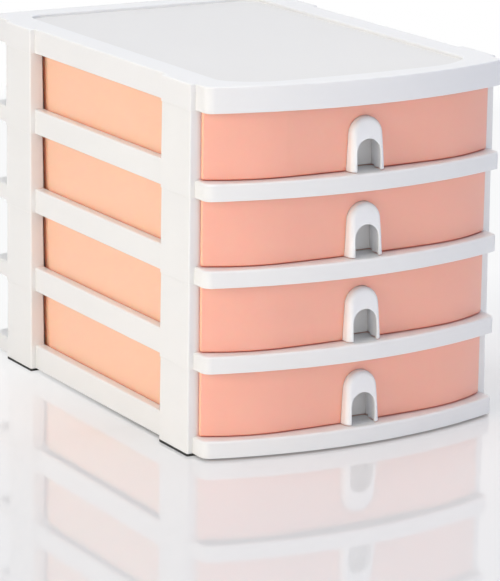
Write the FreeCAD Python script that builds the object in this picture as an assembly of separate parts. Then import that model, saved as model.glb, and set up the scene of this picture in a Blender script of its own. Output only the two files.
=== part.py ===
"""Desktop mini drawers, in millimetres: four stacked plastic tiers, a top cover, four drawers with
clip-in handles and four pad feet. +Z is up, the front faces -Y, and the origin is the bottom centre."""

import FreeCAD, Part
import math
import os

V = FreeCAD.Vector

# Carcass as a whole. The tiers are one moulding used four times, standing on each other's posts.
case_width = 206.0
post_span = 234.0
front_overhang = 29.8
rear_overhang = 28.6
tier_pitch = 50.0
tier_count = 4

# Corner posts, hollow from below, which stand proud of the shelf edge between them. The inner
# front edges of the front pair are rounded more, as a mouth for the drawers.
post_width = 34.0
post_depth = 9.4
post_wall = 2.0
post_outer_setback = 0.4
post_inner_setback = 0.7
post_edge_round = 1.0
post_mouth_round = 1.2
spigot_height = 5.0
spigot_clearance = 0.15
spigot_lead = 0.8

# Shelf edge: side rails, a bowed lip in front and a straight one behind
edge_setin = 3.6
edge_wall = 2.0
lip_height = 10.0
lip_round = 1.4
lip_corner = 6.0
lip_bow = 300.0
rear_corner = 10.0
deck_thickness = 2.2
rail_height = 15.0
rail_round = 0.8
rib_thickness = 1.6
rib_depth = 4.0
rib_rows = 4
rib_columns = 3

# Back wall of each tier, just behind the drawer
back_wall = 2.0
back_gap = 1.0
back_top_gap = 0.5

# Top cover with a raised rim round a recessed panel
cover_height = 15.0
cover_plate = 2.4
rim_side = 16.8
rim_front = 15.3
rim_rear = 16.2
panel_recess = 2.0
panel_corner = 12.0
panel_bow = 900.0
panel_shoulder = 45.0
rim_round = 0.8
rim_inner_round = 0.7
cover_socket_depth = 11.0

# Every bowed outline keeps its main radius until this far from the side of the case, then tightens
bow_end_setin = 53.0

# Drawer: a tub, open on top, with draft on its sides and rear. Its upright front is wider than
# the rest and closes against the posts. Its rear end steps in on both sides, which leads it into
# its bay; the step shows at the rear end of each window.
drawer_gap = 0.5
drawer_lift = 0.5
drawer_top_gap = 0.8
drawer_wall = 1.8
drawer_floor = 1.8
drawer_taper = 0.7
drawer_bow = 900.0
drawer_shoulder = 99.0
drawer_corner = 3.0
drawer_rear_corner = 6.0
drawer_depth = 228.0
lead_length = 14.0
lead_step = 2.0
lead_edge_round = 1.0
drawer_rim_round = 0.6
front_overlap = 2.4
front_corner = 0.7
front_edge_round = 0.6
front_side = 1.65
front_gap = 0.3
front_lap = 1.2

# Handle: a white hood with a finger cup behind it, let into an arch in the drawer front
hood_foot_half = 11.3
hood_arch_radius = 10.3
hood_height = 31.2
hood_wall = 1.6
hood_projection = 6.8
hood_top_projection = 4.2
hood_crown = 0.4
hood_edge_round = 3.0
hood_clearance = 0.15
opening_half = 8.0
opening_height = 18.6
cup_flange = 2.2
cup_depth = 11.4
cup_wall = 1.5
cup_gap = 0.3

# Feet: thin pads with plugs in the hollow posts of the lowest tier
foot_thickness = 1.5
foot_plug_height = 7.0

# One overrun serves all cuts
overrun = 1.0


def bow_places(half, corner, bow, shoulder):
    """Lean at the end of the main bow, then the centre of the shoulder arc and of the corner arc as
    distances back from the middle of the front."""
    lean = math.asin(bow_reach / bow)
    shoulder_x = (bow - shoulder) * math.sin(lean)
    shoulder_back = bow - (bow - shoulder) * math.cos(lean)
    span = half - corner - shoulder_x
    corner_back = shoulder_back - math.sqrt((shoulder - corner) ** 2 - span ** 2)
    return lean, shoulder_x, shoulder_back, corner_back


# Places that follow from the sizes
quarter = math.pi / 2
half_case = case_width / 2
edge_half = half_case - edge_setin
bow_reach = half_case - bow_end_setin
total_depth = front_overhang + post_span + rear_overhang
front_y = -total_depth / 2
rear_y = total_depth / 2
post_front_y = front_y + front_overhang
post_rear_y = rear_y - rear_overhang
post_inner_half = half_case - post_depth
front_half = post_inner_half + front_overlap
deck_underside = lip_height - deck_thickness
cover_underside = cover_height - panel_recess - cover_plate
drawer_half = post_inner_half + post_inner_setback - drawer_gap
front_sag = bow_places(front_half, front_corner, drawer_bow, drawer_shoulder)[-1]
drawer_front_y = post_front_y - front_gap - front_corner - front_side - front_sag
drawer_rear_y = drawer_front_y + drawer_depth
lead_y = drawer_rear_y - lead_length
drawer_base = lip_height + drawer_lift
drawer_height = tier_pitch - drawer_top_gap - drawer_base
cup_front_y = drawer_front_y + drawer_wall + cup_gap
cup_back_y = drawer_front_y + cup_depth
post_centres = [
    (side * (half_case - post_depth / 2), y)
    for side in (-1, 1)
    for y in (post_front_y + post_width / 2, post_rear_y - post_width / 2)
]


def box(x0, x1, y0, y1, z0, z1):
    """Block between two corners."""
    return Part.makeBox(x1 - x0, y1 - y0, z1 - z0, V(x0, y0, z0))


def turned(centre, radius, angle):
    """Point at an angle on a level circle."""
    return centre + V(math.cos(angle), math.sin(angle), 0) * radius


def arc(centre, radius, start, end):
    """Level arc between two angles."""
    middle = turned(centre, radius, (start + end) / 2)
    return Part.Arc(turned(centre, radius, start), middle, turned(centre, radius, end)).toShape()


def line(start, end):
    """Straight edge."""
    return Part.LineSegment(start, end).toShape()


def plan_wire(outline, inset, z):
    """Closed plan outline, moved in by inset: a bowed front that tightens at its shoulders, tangent
    corners, straight sides and a straight rear."""
    half, corner, bow, shoulder, front, rear, back_corner = outline
    lean, shoulder_x, shoulder_back, corner_back = bow_places(half, corner, bow, shoulder)
    turn = math.atan2(corner_back - shoulder_back, half - corner - shoulder_x)
    bow_centre = V(0, front + bow, z)
    right_shoulder = V(shoulder_x, front + shoulder_back, z)
    left_shoulder = V(-shoulder_x, front + shoulder_back, z)
    right_corner = V(half - corner, front + corner_back, z)
    left_corner = V(corner - half, front + corner_back, z)
    right_back = V(half - back_corner, rear - back_corner, z)
    left_back = V(back_corner - half, rear - back_corner, z)
    corner -= inset
    bow -= inset
    shoulder -= inset
    back_corner -= inset
    half_turn = math.pi
    return Part.Wire([
        arc(right_corner, corner, 0, turn),
        arc(right_shoulder, shoulder, turn, lean - quarter),
        arc(bow_centre, bow, lean - quarter, -lean - quarter),
        arc(left_shoulder, shoulder, -lean - quarter, -half_turn - turn),
        arc(left_corner, corner, -half_turn - turn, -half_turn),
        line(turned(left_corner, corner, half_turn), turned(left_back, back_corner, half_turn)),
        arc(left_back, back_corner, half_turn, quarter),
        line(turned(left_back, back_corner, quarter), turned(right_back, back_corner, quarter)),
        arc(right_back, back_corner, quarter, 0),
        line(turned(right_back, back_corner, 0), turned(right_corner, corner, 0)),
    ])


def edge_plan(inset, z):
    """Outline of a shelf edge or of the cover."""
    outline = (edge_half, lip_corner, lip_bow, lip_bow, front_y, rear_y, rear_corner)
    return plan_wire(outline, inset, z)


def panel_plan(z):
    """Outline of the recess in the cover."""
    outline = (
        edge_half - rim_side, panel_corner, panel_bow, panel_shoulder, front_y + rim_front,
        rear_y - rim_rear, panel_corner,
    )
    return plan_wire(outline, 0, z)


def tub_plan(narrowing, z):
    """Outline of the wide inside of a drawer, narrower by the draft at its floor."""
    outline = (
        drawer_half - narrowing, drawer_corner, drawer_bow, drawer_shoulder, drawer_front_y,
        lead_y - narrowing, drawer_corner,
    )
    return plan_wire(outline, drawer_wall, z)


def slab(wire, height):
    """Solid that stands on a plan outline."""
    return Part.Face(wire).extrude(V(0, 0, height))


def edges_at(shape, z):
    """Edges that lie flat at height z."""
    level = []
    for edge in shape.Edges:
        bounds = edge.BoundBox
        if max(abs(bounds.ZMin - z), abs(bounds.ZMax - z)) < spigot_clearance:
            level.append(edge)
    return level


def edges_along(shape, pattern):
    """Edges of a shape whose middles fall on those of the pattern's edges."""
    middles = [edge.CenterOfMass for edge in pattern]
    return [
        edge for edge in shape.Edges
        if min(edge.CenterOfMass.distanceToPoint(middle) for middle in middles) < spigot_clearance
    ]


def upright_edges(shape, keep):
    """Edges that run up the whole shape and whose middle passes a test."""
    height = shape.BoundBox.ZLength
    return [
        edge for edge in shape.Edges
        if edge.BoundBox.ZLength > height / 2 and keep(edge.CenterOfMass)
    ]


def post_shape(centre, z0, z1, outer_setback, inner_setback):
    """Solid post between two heights, narrower at the top, with its outer edges rounded."""
    outward = math.copysign(1, centre[0])
    wires = []
    for z, out, back in ((z0, 0, 0), (z1, outer_setback, inner_setback)):
        far = outward * (half_case - out)
        near = outward * (post_inner_half + back)
        y0 = centre[1] - post_width / 2 + out
        y1 = centre[1] + post_width / 2 - out
        points = [V(far, y0, z), V(near, y0, z), V(near, y1, z), V(far, y1, z)]
        wires.append(Part.makePolygon(points + points[:1]))
    post = Part.makeLoft(wires, True, True)
    outer = upright_edges(post, lambda p: abs(p.x) > half_case - post_depth / 2)
    return post.makeFillet(post_edge_round, outer)


def plug(centre, z0, height, clearance):
    """Block that fills the hollow of a post, less a clearance on each side."""
    half_x = post_depth / 2 - post_wall - clearance
    half_y = post_width / 2 - post_wall - clearance
    x, y = centre
    return box(x - half_x, x + half_x, y - half_y, y + half_y, z0, z0 + height)


def spigot(centre):
    """Locating block on top of a post, with a lead-in all round its top."""
    block = plug(centre, tier_pitch, spigot_height, spigot_clearance)
    return block.makeChamfer(spigot_lead, edges_at(block, tier_pitch + spigot_height))


def ribs(z0, z1):
    """Crossed ribs under a deck or cover, from side to side and from front to rear."""
    grid = []
    for row in range(1, rib_rows + 1):
        y = front_y + total_depth * row / (rib_rows + 1)
        grid.append(box(-edge_half, edge_half, y - rib_thickness / 2, y + rib_thickness / 2, z0, z1))
    for column in range(1, rib_columns + 1):
        x = edge_half * (2 * column / (rib_columns + 1) - 1)
        grid.append(box(x - rib_thickness / 2, x + rib_thickness / 2, front_y, rear_y, z0, z1))
    inside = slab(edge_plan(edge_wall / 2, z0), z1 - z0)
    return [rib.common(inside) for rib in grid]


def shelf():
    """Deck with its skirt and a rounded lip."""
    body = slab(edge_plan(0, 0), lip_height)
    body = body.makeFillet(lip_round, edges_at(body, lip_height))
    return body.cut(slab(edge_plan(edge_wall, 0), deck_underside))


def rail(side):
    """Side rail above the deck, from post to post, with its outer top edge rounded."""
    x0, x1 = sorted((side * edge_half, side * post_inner_half))
    y0 = post_front_y + post_width / 2
    y1 = post_rear_y - post_width / 2
    bar = box(x0, x1, y0, y1, deck_underside, rail_height)
    outer = [
        edge for edge in edges_at(bar, rail_height)
        if abs(edge.CenterOfMass.x) > edge_half - rail_round
    ]
    return bar.makeFillet(rail_round, outer)


def tier():
    """One storey: shelf, side rails, four posts with spigots and a back wall. Its foot is at zero."""
    pieces = ribs(deck_underside - rib_depth, deck_underside) + [rail(-1), rail(1)]
    for centre in post_centres:
        post = post_shape(centre, 0, tier_pitch, post_outer_setback, post_inner_setback)
        if centre[1] < 0:
            mouth = upright_edges(
                post, lambda p: abs(p.x) < post_inner_half + post_mouth_round and p.y < centre[1],
            )
            post = post.makeFillet(post_mouth_round, mouth)
        pieces.append(post)
    wall_half = half_case - post_depth / 2
    wall_y = drawer_rear_y + back_gap
    pieces.append(box(
        -wall_half, wall_half, wall_y, wall_y + back_wall, deck_underside, tier_pitch - back_top_gap,
    ))
    body = shelf().multiFuse(pieces)
    hollow = tier_pitch - post_wall + overrun
    body = body.cut(Part.makeCompound([plug(centre, -overrun, hollow, 0) for centre in post_centres]))
    return body.multiFuse([spigot(centre) for centre in post_centres]).removeSplitter()


def top_cover():
    """Skirted plate with a raised rim, a recessed panel and four corner blocks. Its foot is at zero."""
    body = slab(edge_plan(0, 0), cover_height)
    body = body.multiFuse([post_shape(centre, 0, cover_height, 0, 0) for centre in post_centres])
    body = body.removeSplitter()
    body = body.makeFillet(rim_round, edges_at(body, cover_height))
    recess = slab(panel_plan(cover_height - panel_recess), panel_recess)
    body = body.cut(recess)
    body = body.makeFillet(rim_inner_round, edges_along(body, edges_at(recess, cover_height)))
    body = body.cut(slab(edge_plan(edge_wall, -overrun), cover_underside + overrun))
    lower_blocks = [post_shape(centre, 0, cover_underside, 0, 0) for centre in post_centres]
    body = body.multiFuse(lower_blocks + ribs(cover_underside - rib_depth, cover_underside))
    sockets = [plug(centre, -overrun, cover_socket_depth + overrun, 0) for centre in post_centres]
    return body.cut(Part.makeCompound(sockets)).removeSplitter()


def arch_wire(foot_half, radius, height, y):
    """Upright arch: a round top with sides that run out to a wider foot at zero."""
    centre_z = height - radius
    reach = math.hypot(foot_half, centre_z)
    lean = math.acos(radius / reach) - math.atan2(centre_z, foot_half)
    side_x = radius * math.cos(lean)
    side_z = centre_z + radius * math.sin(lean)
    foot_right = V(foot_half, y, 0)
    foot_left = V(-foot_half, y, 0)
    right = V(side_x, y, side_z)
    left = V(-side_x, y, side_z)
    return Part.Wire([
        line(foot_left, foot_right),
        line(foot_right, right),
        Part.Arc(right, V(0, y, height), left).toShape(),
        line(left, foot_left),
    ])


def arch_prism(offset, y0, y1, below):
    """Prism of the hood's arch, grown by offset, between two depths. Below zero it goes straight down."""
    wire = arch_wire(hood_foot_half + offset, hood_arch_radius + offset, hood_height + offset, y0)
    prism = Part.Face(wire).extrude(V(0, y1 - y0, 0))
    if below > 0:
        half = hood_foot_half + offset
        prism = prism.fuse(box(-half, half, y0, y1, -below, 0)).removeSplitter()
    return prism


def behind_hood(inset):
    """Everything behind the hood's front face, which leans forward at the foot and is slightly crowned."""
    low = V(-half_case, drawer_front_y - hood_projection + inset, -overrun)
    high = V(-half_case, drawer_front_y - hood_top_projection + inset, hood_height + overrun)
    middle = (low + high) * (1 / 2) - V(0, hood_crown, 0)
    back_high = V(-half_case, rear_y, hood_height + overrun)
    back_low = V(-half_case, rear_y, -overrun)
    wire = Part.Wire([
        Part.Arc(low, middle, high).toShape(),
        line(high, back_high),
        line(back_high, back_low),
        line(back_low, low),
    ])
    return Part.Face(wire).extrude(V(case_width, 0, 0))


def handle():
    """Hood and finger cup in one shell, open below, with the cup wider than the hood. Its foot is at zero."""
    ahead_y = drawer_front_y - hood_projection - overrun
    hood = arch_prism(0, ahead_y, cup_front_y + cup_wall, 0).common(behind_hood(0))
    front_edges = [
        edge for edge in hood.Edges
        if edge.BoundBox.YMax < drawer_front_y and edge.BoundBox.ZMax > hood_edge_round
    ]
    hood = hood.makeFillet(hood_edge_round, front_edges)
    cup = arch_prism(cup_flange, cup_front_y, cup_back_y, 0)
    hollow = arch_prism(-hood_wall, ahead_y, cup_front_y + cup_wall + overrun, overrun)
    hollow = hollow.common(behind_hood(hood_wall))
    cup_hollow = arch_prism(cup_flange - cup_wall, cup_front_y + cup_wall, cup_back_y - cup_wall, overrun)
    opening = Part.Face(arch_wire(opening_half, opening_half, opening_height, ahead_y))
    opening = opening.extrude(V(0, hood_projection + hood_wall + overrun, 0))
    body = hood.fuse(cup)
    for space in (hollow, cup_hollow, opening):
        body = body.cut(space)
    return body.removeSplitter()


def drafted_block(half, front, rear, foot_z, corner):
    """Block up to a drawer's rim that narrows by the draft towards its foot, with rounded rear corners."""
    wires = []
    for z, narrowing in ((foot_z, drawer_taper), (drawer_height, 0)):
        side = half - narrowing
        end = rear - narrowing
        points = [V(-side, front, z), V(side, front, z), V(side, end, z), V(-side, end, z)]
        wires.append(Part.makePolygon(points + points[:1]))
    block = Part.makeLoft(wires, True, True)
    return block.makeFillet(corner, upright_edges(block, lambda p: p.y > (front + rear) / 2))


def drawer():
    """Tub with a wider upright front and an arch in it for the handle. Its foot is at zero."""
    front_outline = (
        front_half, front_corner, drawer_bow, drawer_shoulder, drawer_front_y,
        post_front_y - front_gap, front_corner,
    )
    front = slab(plan_wire(front_outline, 0, 0), drawer_height)
    bow = [
        edge for edge in edges_at(front, 0) + edges_at(front, drawer_height)
        if edge.BoundBox.YMax < post_front_y - front_gap - front_corner
    ]
    front = front.makeFillet(front_edge_round, bow)
    tub = drafted_block(drawer_half, post_front_y - front_lap, lead_y, 0, lead_edge_round)
    lead_half = drawer_half - lead_step
    tub = tub.fuse(drafted_block(lead_half, 0, drawer_rear_y, 0, drawer_rear_corner))
    inside = Part.makeLoft([tub_plan(drawer_taper, drawer_floor), tub_plan(0, drawer_height)], True, True)
    lead_inside = drafted_block(
        lead_half - drawer_wall, 0, drawer_rear_y - drawer_wall, drawer_floor,
        drawer_rear_corner - drawer_wall,
    )
    inside = inside.fuse(lead_inside).removeSplitter()
    tub = tub.fuse(front).cut(inside).removeSplitter()
    tub = tub.makeFillet(drawer_rim_round, edges_along(tub, edges_at(inside, drawer_height)))
    through = arch_prism(hood_clearance, drawer_front_y - overrun, cup_front_y, overrun)
    pocket = arch_prism(
        cup_flange + hood_clearance, cup_front_y - hood_clearance, cup_back_y + hood_clearance, overrun,
    )
    return tub.cut(through).cut(pocket).removeSplitter()


def foot(centre):
    """Pad under a post, with a plug in the hollow above it."""
    pad = post_shape(centre, 0, foot_thickness, 0, 0)
    return pad.fuse(plug(centre, foot_thickness, foot_plug_height, spigot_clearance)).removeSplitter()


def write(name, shape, z):
    """Checks that a sub-part is one sound solid, lifts it to its place and writes it."""
    if len(shape.Solids) != 1 or not shape.isValid():
        raise ValueError(f"{name} is not one sound solid")
    shape.Solids[0].translated(V(0, 0, z)).exportStep(os.path.join("parts", name + ".step"))


os.makedirs("parts", exist_ok=True)
storey = tier()
tray = drawer()
pull = handle()
for number in range(1, tier_count + 1):
    storey_z = foot_thickness + (number - 1) * tier_pitch
    write(f"tier_{number}", storey, storey_z)
    write(f"drawer_{number}", tray, storey_z + drawer_base)
    write(f"handle_{number}", pull, storey_z + drawer_base)
write("top_cover", top_cover(), foot_thickness + tier_count * tier_pitch)
foot_names = ("foot_front_left", "foot_rear_left", "foot_front_right", "foot_rear_right")
for foot_name, post_centre in zip(foot_names, post_centres):
    write(foot_name, foot(post_centre), 0)
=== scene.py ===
import bpy
import math
from mathutils import Matrix, Vector


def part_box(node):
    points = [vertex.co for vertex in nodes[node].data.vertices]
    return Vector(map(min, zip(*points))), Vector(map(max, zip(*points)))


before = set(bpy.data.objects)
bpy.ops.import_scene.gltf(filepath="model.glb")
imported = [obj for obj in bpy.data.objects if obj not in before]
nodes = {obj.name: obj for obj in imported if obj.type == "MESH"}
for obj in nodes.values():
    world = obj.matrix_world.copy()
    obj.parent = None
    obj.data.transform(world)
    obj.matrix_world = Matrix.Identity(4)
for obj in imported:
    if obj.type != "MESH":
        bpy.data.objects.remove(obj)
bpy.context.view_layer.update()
scene = bpy.context.scene

# Camera. It stands 1.9 m from the middle of the object, a little above it and to its left, as a product
# camera with a long lens does, so the upright edges stay almost parallel.
camera_place = (-0.93138, -1.58703, 0.53614)
azimuth = math.radians(30.57)
elevation = math.radians(14.53)
roll = math.radians(0.77)
focal_length = 222.4
film_width = 36
forward = Vector((
    math.sin(azimuth) * math.cos(elevation), math.cos(azimuth) * math.cos(elevation), -math.sin(elevation),
))
level_right = Vector((math.cos(azimuth), -math.sin(azimuth), 0))
level_up = level_right.cross(forward)
right = math.cos(roll) * level_right + math.sin(roll) * level_up
up = math.cos(roll) * level_up - math.sin(roll) * level_right
lens = bpy.data.cameras.new("product_lens")
lens.sensor_fit = "HORIZONTAL"
lens.sensor_width = film_width
lens.lens = focal_length
lens.clip_start = 0.05
lens.clip_end = 100
camera = bpy.data.objects.new("product_camera", lens)
camera.matrix_world = Matrix.Translation(camera_place) @ Matrix((
    (right.x, up.x, -forward.x, 0),
    (right.y, up.y, -forward.y, 0),
    (right.z, up.z, -forward.z, 0),
    (0, 0, 0, 1),
))
scene.collection.objects.link(camera)
scene.camera = camera
scene.view_settings.view_transform = "Standard"


# Table top. A sheet of polished white acrylic, cast flat, that the object stands on. It mirrors what
# stands on it, most near the contact, and takes a soft shadow.
table_half = 12.0
wave_length = 0.090


def linear(code):
    """Linear colour of an sRGB hex value."""
    parts = [int(code[place:place + 2], 16) / 255 for place in (0, 2, 4)]
    return [part / 12.92 if part <= 0.04045 else ((part + 0.055) / 1.055) ** 2.4 for part in parts] + [1]


def add(tree, kind, inputs, **settings):
    """Adds one node with its settings, and fills or links its inputs."""
    fresh = tree.nodes.new(kind)
    for name, value in settings.items():
        setattr(fresh, name, value)
    for name, value in inputs.items():
        if isinstance(value, bpy.types.NodeSocket):
            tree.links.new(value, fresh.inputs[name])
        else:
            fresh.inputs[name].default_value = value
    return fresh


def empty_material(name):
    """A material without nodes, with its tree and the coordinates of the piece that wears it."""
    material = bpy.data.materials.new(name)
    material.use_nodes = True
    tree = material.node_tree
    tree.nodes.clear()
    return material, tree, add(tree, "ShaderNodeTexCoord", {}).outputs["Object"]


acrylic, tree, place = empty_material("cast_acrylic_polished_white")
ray = add(tree, "ShaderNodeLightPath", {})
# The sheet sends nearly all its light back up to the object, and looks a little less white itself.
whiteness = add(tree, "ShaderNodeMix", {
    "Factor": ray.outputs["Is Camera Ray"], "A": linear("FBFBFB"), "B": linear("DFDFE0"),
}, data_type="RGBA")
# Polishing leaves long waves, too shallow to see except in what they mirror.
waves = add(tree, "ShaderNodeTexNoise", {
    "Vector": place, "Scale": 1 / wave_length, "Detail": 2, "Roughness": 0.4,
})
ripple = add(tree, "ShaderNodeBump", {
    "Height": waves.outputs["Fac"], "Strength": 0.3, "Distance": 0.0002,
})
body = add(tree, "ShaderNodeBsdfDiffuse", {"Color": whiteness.outputs["Result"]})
mirror = add(tree, "ShaderNodeBsdfGlossy", {
    "Color": linear("FFFFFF"), "Roughness": 0.045, "Normal": ripple.outputs["Normal"],
})
# Gloss by angle, somewhat stronger than acrylic's own. It falls off away from the object, where the
# sheet is less polished.
gloss = add(tree, "ShaderNodeFresnel", {"IOR": 1.62, "Normal": ripple.outputs["Normal"]})
away = add(tree, "ShaderNodeVectorMath", {0: place}, operation="LENGTH")
polish = add(tree, "ShaderNodeMapRange", {
    "Value": away.outputs["Value"], "From Min": 0.12, "From Max": 0.62, "To Min": 1.3, "To Max": 0.75,
})
mirrored = add(tree, "ShaderNodeMath", {
    0: gloss.outputs["Fac"], 1: polish.outputs["Result"],
}, operation="MULTIPLY", use_clamp=True)
sheet = add(tree, "ShaderNodeMixShader", {
    "Fac": mirrored.outputs["Value"], 1: body.outputs["BSDF"], 2: mirror.outputs["BSDF"],
})
# Far from the object the sheet runs out into the white of the studio. Behind the object a painted glow
# stands for the light of the studio wall, and in front a little of that painted glow lies over its shadows.
distance = add(tree, "ShaderNodeMapRange", {
    "Value": away.outputs["Value"], "From Min": 0.52, "From Max": 1.0, "To Min": 0, "To Max": 1,
})
depth = add(tree, "ShaderNodeSeparateXYZ", {"Vector": place})
behind = add(tree, "ShaderNodeMapRange", {
    "Value": depth.outputs["Y"], "From Min": -0.05, "From Max": 0.16, "To Min": 0.18, "To Max": 0.8,
})
fade = add(tree, "ShaderNodeMath", {
    0: distance.outputs["Result"], 1: behind.outputs["Result"],
}, operation="MAXIMUM")
seen = add(tree, "ShaderNodeMath", {
    0: fade.outputs["Value"], 1: ray.outputs["Is Camera Ray"],
}, operation="MULTIPLY")
painted_glow = add(tree, "ShaderNodeEmission", {"Color": linear("FFFFFF"), "Strength": 1})
whole = add(tree, "ShaderNodeMixShader", {
    "Fac": seen.outputs["Value"], 1: sheet.outputs["Shader"], 2: painted_glow.outputs["Emission"],
})
add(tree, "ShaderNodeOutputMaterial", {"Surface": whole.outputs["Shader"]})

table_mesh = bpy.data.meshes.new("acrylic_sheet")
table_mesh.from_pydata(
    [(-table_half, -table_half, 0), (table_half, -table_half, 0), (table_half, table_half, 0),
     (-table_half, table_half, 0)],
    [], [(0, 1, 2, 3)],
)
table = bpy.data.objects.new("acrylic_sheet", table_mesh)
table_mesh.materials.append(acrylic)
scene.collection.objects.link(table)

# Studio light. A warm soft box on the left, weaker and cooler ones in front and at the right, one behind
# for the back, one overhead, and a white room that gives the rest.
middle_of_object = Vector((0, 0, 0.1))
room = bpy.data.worlds.new("white_room")
scene.world = room
room.use_nodes = True
tree = room.node_tree
tree.nodes.clear()
# The eye, the gloss and anything clear see the room as plain white.
ray = add(tree, "ShaderNodeLightPath", {})
seen = add(tree, "ShaderNodeMath", {
    0: ray.outputs["Is Camera Ray"], 1: ray.outputs["Is Glossy Ray"],
}, operation="MAXIMUM")
shown = add(tree, "ShaderNodeMath", {
    0: seen.outputs["Value"], 1: ray.outputs["Is Transmission Ray"],
}, operation="MAXIMUM")
# As a source of light the room is strongest at the height of the object, and weaker overhead.
direction = add(tree, "ShaderNodeTexCoord", {})
rise = add(tree, "ShaderNodeSeparateXYZ", {"Vector": direction.outputs["Generated"]})
brightness = add(tree, "ShaderNodeMapRange", {
    "Value": rise.outputs["Z"], "From Min": 0.3, "From Max": 0.8, "To Min": 0.42, "To Max": 0.30,
})
soft = add(tree, "ShaderNodeBackground", {
    "Color": linear("E3EAFF"), "Strength": brightness.outputs["Result"],
})
white = add(tree, "ShaderNodeBackground", {"Color": linear("FFFFFF"), "Strength": 1})
both = add(tree, "ShaderNodeMixShader", {
    "Fac": shown.outputs["Value"], 1: soft.outputs["Background"], 2: white.outputs["Background"],
})
add(tree, "ShaderNodeOutputWorld", {"Surface": both.outputs["Shader"]})

for name, spot, width, watts, tint in (
    ("soft_box_left", (-1.9, -0.4, 0.7), 1.0, 16.8, "FFF4DE"),
    ("soft_box_front", (-0.75, -1.7, 0.45), 0.8, 4.8, "FFFAF2"),
    ("soft_box_right", (1.0, -1.9, 0.25), 1.0, 5.5, "D5E0FF"),
    ("soft_box_rear", (1.6, 1.4, 0.8), 1.0, 9, "FFFFFF"),
    ("soft_box_overhead", (-0.2, -0.3, 2.4), 1.4, 32, "FFFFFF"),
):
    lamp = bpy.data.lights.new(name, "AREA")
    lamp.shape = "SQUARE"
    lamp.size = width
    lamp.energy = watts
    lamp.color = linear(tint)[:3]
    lamp_object = bpy.data.objects.new(name, lamp)
    lamp_object.location = spot
    aim = middle_of_object - lamp_object.location
    lamp_object.rotation_euler = aim.to_track_quat("-Z", "Y").to_euler()
    lamp_object.visible_glossy = False
    scene.collection.objects.link(lamp_object)

# Tiers. Four like shells of white polypropylene, injection moulded in one shot each and pushed onto
# each other's posts. They wear the same glossy finish inside and out.
edge_radius = 0.0004
edge_dulling = 0.15
pigment_patch = 0.070
smudge_patch = 0.025
peel_spacing = 0.0015
crease_reach = 0.003
storeys = range(1, 5)
# Up to this distance from the middle, the creases of a tier face its drawer.
bay_half = 0.0975
bay_blend = 0.001
# What light does inside the polypropylene, which is a little milky.
polypropylene_depth = {
    "IOR": 1.49, "Subsurface Weight": 0.12, "Subsurface Radius": (1.0, 0.9, 0.8), "Subsurface Scale": 0.003,
}


def drifting_pigment(tree, place, patch, first, second):
    """Pigment that drifts between two shades over patches of one size, as the melt fills the tool."""
    drift = add(tree, "ShaderNodeTexNoise", {
        "Vector": place, "Scale": 1 / patch, "Detail": 3, "Roughness": 0.5,
    })
    tone = add(tree, "ShaderNodeMix", {
        "Factor": drift.outputs["Fac"], "A": linear(first), "B": linear(second),
    }, data_type="RGBA")
    return tone.outputs["Result"]


def tone_in_creases(tree, tone, crease_tone, reach, closed, open_air, most, samples):
    """Turns a tone into another where surfaces meet within the reach of each other, as painted shade in the
    creases.
    """
    crease = add(tree, "ShaderNodeAmbientOcclusion", {"Distance": reach}, samples=samples)
    crease_share = add(tree, "ShaderNodeMapRange", {
        "Value": crease.outputs["AO"], "From Min": closed, "From Max": open_air, "To Min": most, "To Max": 0,
    })
    mixed = add(tree, "ShaderNodeMix", {
        "Factor": crease_share.outputs["Result"], "A": tone, "B": crease_tone,
    }, data_type="RGBA")
    return mixed.outputs["Result"]


def pale_edges(tree, tone, edge_tone):
    """Rounds the shading over each edge of the moulding and pales the edge to another tone, partly the wear
    of handling and partly a painted highlight. Returns the tone, how much of an edge a place is, and the
    rounded normal."""
    softened = add(tree, "ShaderNodeBevel", {"Radius": edge_radius}, samples=6)
    facing = add(tree, "ShaderNodeNewGeometry", {})
    turned = add(tree, "ShaderNodeVectorMath", {
        0: softened.outputs["Normal"], 1: facing.outputs["Normal"],
    }, operation="DOT_PRODUCT")
    edge = add(tree, "ShaderNodeMapRange", {
        "Value": turned.outputs["Value"], "From Min": 0.80, "From Max": 0.99, "To Min": 1, "To Max": 0,
    })
    edged = add(tree, "ShaderNodeMix", {
        "Factor": edge.outputs["Result"], "A": tone, "B": linear(edge_tone),
    }, data_type="RGBA")
    return edged.outputs["Result"], edge.outputs["Result"], softened.outputs["Normal"]


def smudged_shine(tree, place, smooth, rough):
    """Roughness that finger smudges change between two values."""
    smudge = add(tree, "ShaderNodeTexNoise", {
        "Vector": place, "Scale": 1 / smudge_patch, "Detail": 4, "Roughness": 0.6,
    })
    shine = add(tree, "ShaderNodeMapRange", {
        "Value": smudge.outputs["Fac"], "From Min": 0.3, "From Max": 0.7, "To Min": smooth, "To Max": rough,
    })
    return shine.outputs["Result"]


def orange_peel(tree, place, spacing, normal, grain=0):
    """Normal of a moulded skin with shallow dimples, drawn a little deeper than real so that they show.
    The grain of the tool, where it has one, adds to their height."""
    dimples = add(tree, "ShaderNodeTexNoise", {
        "Vector": place, "Scale": 1 / spacing, "Detail": 2, "Roughness": 0.5,
    })
    relief = add(tree, "ShaderNodeMath", {0: grain, 1: dimples.outputs["Fac"]}, operation="ADD")
    skin = add(tree, "ShaderNodeBump", {
        "Height": relief.outputs["Value"], "Strength": 0.05, "Distance": 0.00002, "Normal": normal,
    })
    return skin.outputs["Normal"]


# Moulded from a polished tool, so the eye sees a clean soft shine with a faint orange peel.
polypropylene, tree, place = empty_material("polypropylene_moulded_gloss_white")
pigment = drifting_pigment(tree, place, pigment_patch, "E5E5E4", "E8E8E7")
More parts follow.
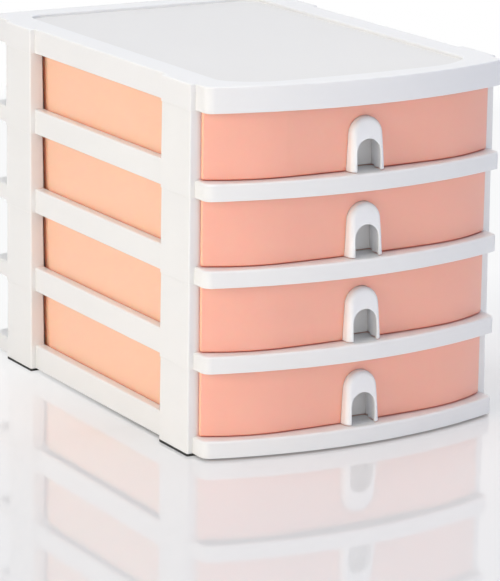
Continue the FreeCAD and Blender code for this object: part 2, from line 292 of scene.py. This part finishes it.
# Creases are greyed, partly as dust and partly as painted shade, and handling dulls the edges. Inside the
# bays the creases are painted peach instead, a painted reflection of the light the drawer sends back into the
# narrow gap.
across = add(tree, "ShaderNodeSeparateXYZ", {"Vector": place})
from_middle = add(tree, "ShaderNodeMath", {0: across.outputs["X"]}, operation="ABSOLUTE")
bay = add(tree, "ShaderNodeMapRange", {
    "Value": from_middle.outputs["Value"], "From Min": bay_half - bay_blend, "From Max": bay_half,
    "To Min": 1, "To Max": 0,
})
crease_tone = add(tree, "ShaderNodeMix", {
    "Factor": bay.outputs["Result"], "A": linear("E0DBD8"), "B": linear("FFB49A"),
}, data_type="RGBA")
overlay = tone_in_creases(
    tree, pigment, crease_tone.outputs["Result"], crease_reach,
    closed=0.15, open_air=0.65, most=0.7, samples=8,
)
# Edges turn paler, partly handling wear and partly a painted highlight.
edged, edge, softened = pale_edges(tree, overlay, "F4F4F2")
dull = add(tree, "ShaderNodeMath", {
    0: edge, 1: edge_dulling, 2: smudged_shine(tree, place, smooth=0.28, rough=0.31),
}, operation="MULTIPLY_ADD", use_clamp=True)
shader = add(tree, "ShaderNodeBsdfPrincipled", {
    "Base Color": edged, "Roughness": dull.outputs["Value"], **polypropylene_depth,
    "Normal": orange_peel(tree, place, peel_spacing, softened),
})
add(tree, "ShaderNodeOutputMaterial", {"Surface": shader.outputs["BSDF"]})
for number in storeys:
    nodes[f"tier_{number}"].material_slots[0].material = polypropylene

# Top cover. A fifth moulding of the same white polypropylene, pressed onto the top posts, with a raised
# glossy rim round a recessed panel.
clear_of_rim = 0.0015
nearly_upright = 0.95
streak_size = (0.012, 0.0006, 0.012)
streak_turn = (0, 0, 0.5)
grain_size = 0.0009

# The panel's part of the tool is spark eroded, so the panel looks satin and slightly greyer than its rim.
cover_plastic, tree, place = empty_material("polypropylene_moulded_gloss_rim_satin_panel")
low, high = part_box("top_cover")
height = add(tree, "ShaderNodeSeparateXYZ", {"Vector": place})
below_rim = add(tree, "ShaderNodeMath", {
    0: height.outputs["Z"], 1: high.z - clear_of_rim,
}, operation="LESS_THAN")
facing = add(tree, "ShaderNodeNewGeometry", {})
upward = add(tree, "ShaderNodeSeparateXYZ", {"Vector": facing.outputs["True Normal"]})
level = add(tree, "ShaderNodeMath", {0: upward.outputs["Z"], 1: nearly_upright}, operation="GREATER_THAN")
panel = add(tree, "ShaderNodeMath", {
    0: below_rim.outputs["Value"], 1: level.outputs["Value"],
}, operation="MULTIPLY")
tone = add(tree, "ShaderNodeMix", {
    "Factor": panel.outputs["Value"],
    "A": drifting_pigment(tree, place, pigment_patch, "E5E5E5", "E8E8E8"),
    "B": drifting_pigment(tree, place, pigment_patch, "E0DFDD", "E3E2E0"),
}, data_type="RGBA")
# Creases are greyed, partly as dust and partly as painted shade.
overlay = tone_in_creases(
    tree, tone.outputs["Result"], linear("DCD8D3"), crease_reach,
    closed=0.2, open_air=0.8, most=0.35, samples=6,
)
# Edges turn paler, partly handling wear and partly a painted highlight.
edged, _, softened = pale_edges(tree, overlay, "F5F5F3")
# Things set down on the panel leave faint polished streaks, about 12 mm long and 0.6 mm apart.
stretched = add(tree, "ShaderNodeMapping", {
    "Vector": place, "Rotation": streak_turn, "Scale": [1 / size for size in streak_size],
})
streaks = add(tree, "ShaderNodeTexNoise", {"Vector": stretched.outputs["Vector"], "Scale": 1, "Detail": 2})
worn = add(tree, "ShaderNodeMapRange", {
    "Value": streaks.outputs["Fac"], "From Min": 0.55, "From Max": 0.75, "To Min": 0.52, "To Max": 0.42,
})
dull = add(tree, "ShaderNodeMix", {
    "Factor": panel.outputs["Value"],
    "A": smudged_shine(tree, place, smooth=0.28, rough=0.31),
    "B": worn.outputs["Result"],
}, data_type="FLOAT")
# Spark erosion leaves finer grains than this. They are drawn at 0.9 mm so that they show.
grain = add(tree, "ShaderNodeTexVoronoi", {"Vector": place, "Scale": 1 / grain_size, "Randomness": 1})
grain_depth = add(tree, "ShaderNodeMath", {
    0: grain.outputs["Distance"], 1: panel.outputs["Value"],
}, operation="MULTIPLY")
shader = add(tree, "ShaderNodeBsdfPrincipled", {
    "Base Color": edged, "Roughness": dull.outputs["Result"], **polypropylene_depth,
    "Normal": orange_peel(tree, place, peel_spacing, softened, grain_depth.outputs["Value"]),
})
add(tree, "ShaderNodeOutputMaterial", {"Surface": shader.outputs["BSDF"]})
nodes["top_cover"].material_slots[0].material = cover_plastic

# Drawers. Four open tubs of peach polystyrene, moulded in one shot each. They slide in between the
# posts of their tier and are held by nothing but their fit.
resin_patch = 0.060
resin_peel_spacing = 0.0018
gap_reach = 0.004
scuff_size = (0.0008, 0.030, 0.0008)

# The resin is slightly milky, so light soaks in and edges glow a little, under a hard even gloss.
polystyrene, tree, place = empty_material("polystyrene_moulded_gloss_peach")
pigment = drifting_pigment(tree, place, resin_patch, "FBB5A0", "FCB7A2")
# The flanks, which slide past the posts, are painted a little paler than the polished front, a painted light
# that stands for the stronger light on the sides.
facing = add(tree, "ShaderNodeNewGeometry", {})
sideways = add(tree, "ShaderNodeSeparateXYZ", {"Vector": facing.outputs["True Normal"]})
flank = add(tree, "ShaderNodeMath", {0: sideways.outputs["X"]}, operation="ABSOLUTE")
flank_facing = add(tree, "ShaderNodeMapRange", {
    "Value": flank.outputs["Value"], "From Min": 0.80, "From Max": 0.98, "To Min": 0, "To Max": 1,
})
tone = add(tree, "ShaderNodeMix", {
    "Factor": flank_facing.outputs["Result"], "A": pigment, "B": linear("FFC5A5"),
}, data_type="RGBA")
# Painted shade: in narrow gaps the peach is deepened to orange, standing for the dim light there, most of
# which has come through the resin.
gap_shaded = tone_in_creases(
    tree, tone.outputs["Result"], linear("F4653C"), gap_reach,
    closed=0.1, open_air=0.7, most=0.8, samples=16,
)
# Edges turn paler, partly handling wear and partly a painted highlight.
edged, _, softened = pale_edges(tree, gap_shaded, "FFDCCB")
# Sliding in and out draws fine scuffs from front to rear, about 30 mm long and 0.8 mm apart.
stretched = add(tree, "ShaderNodeMapping", {"Vector": place, "Scale": [1 / size for size in scuff_size]})
scuffs = add(tree, "ShaderNodeTexNoise", {"Vector": stretched.outputs["Vector"], "Scale": 1, "Detail": 2})
scuffed = add(tree, "ShaderNodeMapRange", {
    "Value": scuffs.outputs["Fac"], "From Min": 0.5, "From Max": 0.8, "To Min": 0, "To Max": 0.03,
})
dull = add(tree, "ShaderNodeMath", {
    0: scuffed.outputs["Result"], 1: flank_facing.outputs["Result"],
    2: smudged_shine(tree, place, smooth=0.285, rough=0.315),
}, operation="MULTIPLY_ADD", use_clamp=True)
shader = add(tree, "ShaderNodeBsdfPrincipled", {
    "Base Color": edged, "Roughness": dull.outputs["Value"], "IOR": 1.59,
    "Subsurface Weight": 0.5, "Subsurface Radius": (1.0, 0.35, 0.2), "Subsurface Scale": 0.0015,
    "Normal": orange_peel(tree, place, resin_peel_spacing, softened),
})
add(tree, "ShaderNodeOutputMaterial", {"Surface": shader.outputs["BSDF"]})
for number in storeys:
    nodes[f"drawer_{number}"].material_slots[0].material = polystyrene

# Handles. Four small hoods of white ABS, moulded with their finger cups and snapped into the arch of
# each drawer front.
hood_patch = 0.020
cup_reach = 0.004
fingerprint_size = 0.008

# ABS takes the tool's mirror polish, so the eye sees a tighter, brighter highlight than on the tiers.
abs_plastic, tree, place = empty_material("abs_moulded_mirror_polish_white")
pigment = drifting_pigment(tree, place, hood_patch, "EFEFEF", "F2F2F2")
# The cup and the creases are greyed, partly as dust and partly as painted shade.
overlay = tone_in_creases(
    tree, pigment, linear("DAD4CF"), cup_reach, closed=0.1, open_air=0.8, most=0.4, samples=6,
)
# Edges turn paler, partly handling wear and partly a painted highlight.
edged, _, softened = pale_edges(tree, overlay, "F6F6F5")
# Fingertips leave marks of about 8 mm on the hood.
touched = add(tree, "ShaderNodeTexNoise", {
    "Vector": place, "Scale": 1 / fingerprint_size, "Detail": 3, "Roughness": 0.6,
})
shine = add(tree, "ShaderNodeMapRange", {
    "Value": touched.outputs["Fac"], "From Min": 0.35, "From Max": 0.7, "To Min": 0.18, "To Max": 0.26,
})
shader = add(tree, "ShaderNodeBsdfPrincipled", {
    "Base Color": edged, "Roughness": shine.outputs["Result"], "IOR": 1.53,
    "Subsurface Weight": 0.2, "Subsurface Radius": (1.0, 0.9, 0.8), "Subsurface Scale": 0.003,
    "Normal": orange_peel(tree, place, peel_spacing, softened),
})
add(tree, "ShaderNodeOutputMaterial", {"Surface": shader.outputs["BSDF"]})
for number in storeys:
    nodes[f"handle_{number}"].material_slots[0].material = abs_plastic

# Feet. Four thin pads of black rubber, moulded with plugs that are pushed up into the hollow posts of
# the lowest tier.
rubber_grain = 0.0007
bloom_patch = 0.006

# Moulded rubber looks almost matt, deep grey rather than black, with a little dust in its grain.
rubber, tree, place = empty_material("rubber_moulded_matt_black")
# The real grain of the tool is finer. It is drawn at 0.7 mm so that it shows.
grain = add(tree, "ShaderNodeTexNoise", {
    "Vector": place, "Scale": 1 / rubber_grain, "Detail": 3, "Roughness": 0.7,
})
bloom = add(tree, "ShaderNodeTexNoise", {
    "Vector": place, "Scale": 1 / bloom_patch, "Detail": 4, "Roughness": 0.6,
})
tone = add(tree, "ShaderNodeMix", {
    "Factor": bloom.outputs["Fac"], "A": linear("151514"), "B": linear("2C2B2A"),
}, data_type="RGBA")
overlay = add(tree, "ShaderNodeMapRange", {
    "Value": grain.outputs["Fac"], "From Min": 0.55, "From Max": 0.8, "To Min": 0, "To Max": 0.35,
})
dusted = add(tree, "ShaderNodeMix", {
    "Factor": overlay.outputs["Result"], "A": tone.outputs["Result"], "B": linear("4A4744"),
}, data_type="RGBA")
softened = add(tree, "ShaderNodeBevel", {"Radius": edge_radius}, samples=6)
skin = add(tree, "ShaderNodeBump", {
    "Height": grain.outputs["Fac"], "Strength": 0.5, "Distance": 0.0001, "Normal": softened.outputs["Normal"],
})
shine = add(tree, "ShaderNodeMapRange", {
    "Value": bloom.outputs["Fac"], "From Min": 0.3, "From Max": 0.7, "To Min": 0.62, "To Max": 0.82,
})
shader = add(tree, "ShaderNodeBsdfPrincipled", {
    "Base Color": dusted.outputs["Result"], "Roughness": shine.outputs["Result"], "IOR": 1.52,
    "Normal": skin.outputs["Normal"],
})
add(tree, "ShaderNodeOutputMaterial", {"Surface": shader.outputs["BSDF"]})
for name in ("foot_front_left", "foot_front_right", "foot_rear_left", "foot_rear_right"):
    nodes[name].material_slots[0].material = rubber
